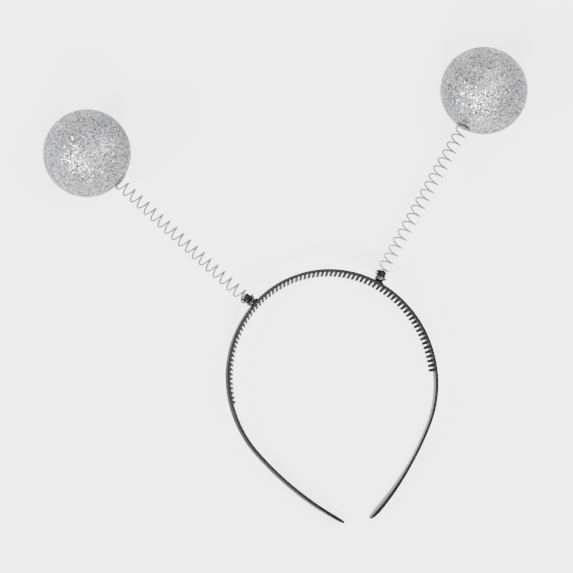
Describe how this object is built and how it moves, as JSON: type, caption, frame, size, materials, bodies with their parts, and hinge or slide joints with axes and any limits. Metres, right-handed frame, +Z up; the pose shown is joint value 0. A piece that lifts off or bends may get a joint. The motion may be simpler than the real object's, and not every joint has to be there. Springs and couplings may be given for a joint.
{
  "type": "head bopper",
  "caption": "Narrow comb-toothed hair band with glitter covered foam balls held out on coil springs, lying on a surface.",
  "frame": {"origin": "on the surface that the object lies on, under the middle of its bounding box", "axes": "+Z up from that surface, +X to the right as the front is seen, +Y from the band's open ends to the balls"},
  "size_m": [0.2912, 0.253, 0.0498],
  "materials": {
    "band_plastic": "smooth black, glossy",
    "spring_wire": "bright drawn wire",
    "silver_glitter": "fine silver glitter glued over foam"
  },
  "bodies": {
    "root": {"headband": "band_plastic", "left_spring": "spring_wire", "right_spring": "spring_wire", "left_ball": "silver_glitter", "right_ball": "silver_glitter"}
  },
  "joints": []
}
